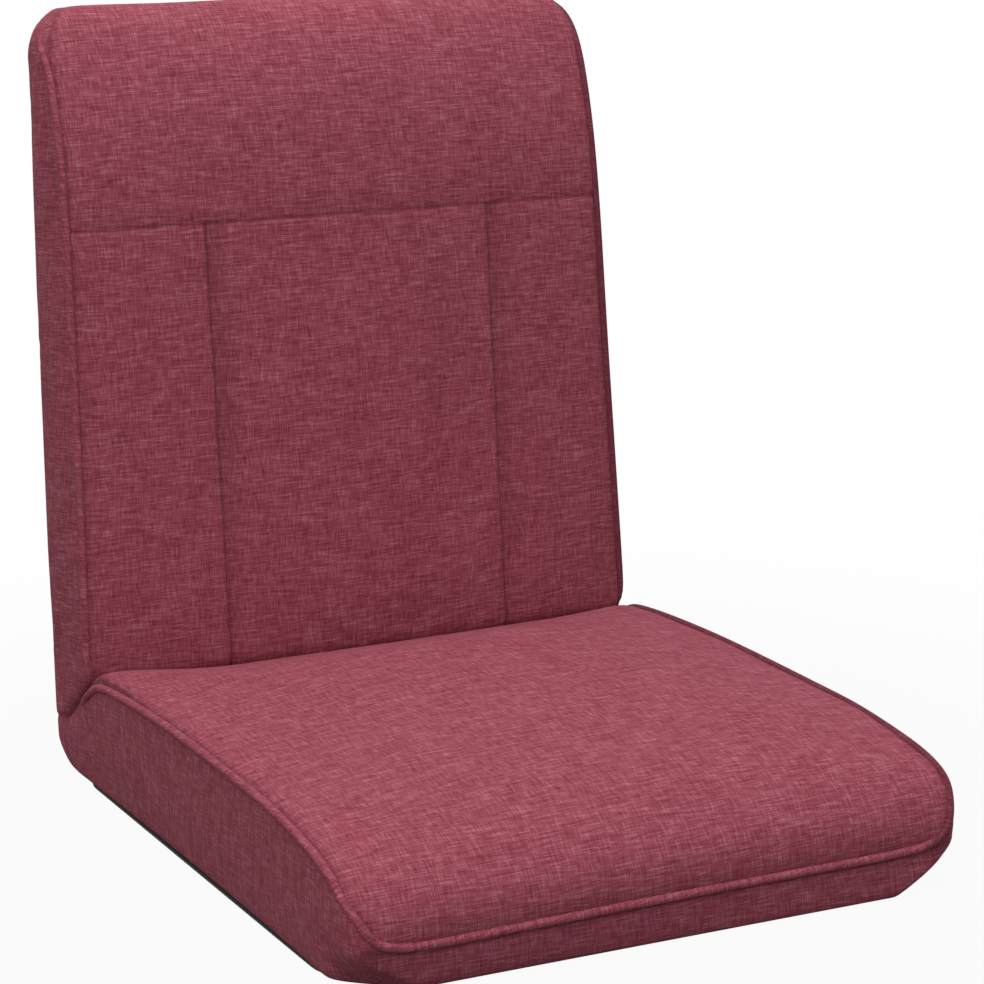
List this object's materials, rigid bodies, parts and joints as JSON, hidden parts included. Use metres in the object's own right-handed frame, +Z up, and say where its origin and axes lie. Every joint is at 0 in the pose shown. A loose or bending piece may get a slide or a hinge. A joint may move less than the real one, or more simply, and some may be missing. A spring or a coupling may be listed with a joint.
{
  "type": "folding floor chair",
  "caption": "Legless padded floor chair in wine-red woven cloth: a flat seat cushion and a channelled backrest on hidden ratchet hinges, reclining from upright to flat.",
  "frame": {"origin": "on the floor, under the middle of the seat", "axes": "+X to the sitter's right, toward the viewer's right in the picture; +Y from the seat's front to the back; +Z up"},
  "size_m": [0.451, 0.5688, 0.5651],
  "materials": {
    "wine_cloth": "coarse slub weave",
    "base_cloth": "non-slip dotted",
    "foam": "open cell",
    "frame_steel": "powder coat",
    "hinge_steel": "zinc plated"
  },
  "bodies": {
    "seat": {"seat_base_foam": "foam", "seat_base_panel": "base_cloth", "seat_border": "wine_cloth", "seat_crease_roll": "foam", "seat_cross_tube": "frame_steel", "seat_piping": "wine_cloth", "seat_rear_panel": "wine_cloth", "seat_top_foam": "foam", "seat_top_panel": "wine_cloth", "seat_tube": "frame_steel", "left_hinge_outer_cheek": "hinge_steel", "left_hinge_inner_cheek": "hinge_steel", "left_hinge_pin": "hinge_steel", "left_hinge_bushes": "hinge_steel", "left_pawl_pin": "hinge_steel", "left_pawl_bush": "hinge_steel", "left_pawl_spring": "hinge_steel", "left_seat_rivets": "hinge_steel", "right_hinge_outer_cheek": "hinge_steel", "right_hinge_inner_cheek": "hinge_steel", "right_hinge_pin": "hinge_steel", "right_hinge_bushes": "hinge_steel", "right_pawl_pin": "hinge_steel", "right_pawl_bush": "hinge_steel", "right_pawl_spring": "hinge_steel", "right_seat_rivets": "hinge_steel"},
    "back": {"back_border": "wine_cloth", "back_centre_panel": "wine_cloth", "back_crease_roll": "foam", "back_front_foam": "foam", "back_head_panel": "wine_cloth", "back_high_cross_tube": "frame_steel", "back_left_panel": "wine_cloth", "back_low_cross_tube": "frame_steel", "back_piping": "wine_cloth", "back_rear_foam": "foam", "back_rear_panel": "wine_cloth", "back_right_panel": "wine_cloth", "back_tube": "frame_steel", "left_ratchet_arm": "hinge_steel", "left_back_rivets": "hinge_steel", "right_ratchet_arm": "hinge_steel", "right_back_rivets": "hinge_steel"},
    "left_pawl": {"left_pawl": "hinge_steel"},
    "right_pawl": {"right_pawl": "hinge_steel"}
  },
  "joints": [
    {"name": "back_fold", "type": "hinge", "parent": "seat", "child": "back", "pos_m": [0, 0.2375, 0.044], "axis": [1, 0, 0], "range_deg": [-84, 42], "deforming": ["seat_crease_roll", "back_crease_roll"]},
    {"name": "left_pawl_swing", "type": "hinge", "parent": "seat", "child": "left_pawl", "pos_m": [-0.19, 0.213, 0.02986], "axis": [-1, 0, 0], "range_deg": [0, 14], "stiffness_Nm_per_rad": 0.05, "springref_deg": 14, "deforming": ["left_pawl_spring"]},
    {"name": "right_pawl_swing", "type": "hinge", "parent": "seat", "child": "right_pawl", "pos_m": [0.19, 0.213, 0.02986], "axis": [-1, 0, 0], "range_deg": [0, 14], "stiffness_Nm_per_rad": 0.05, "springref_deg": 14, "deforming": ["right_pawl_spring"]}
  ]
}
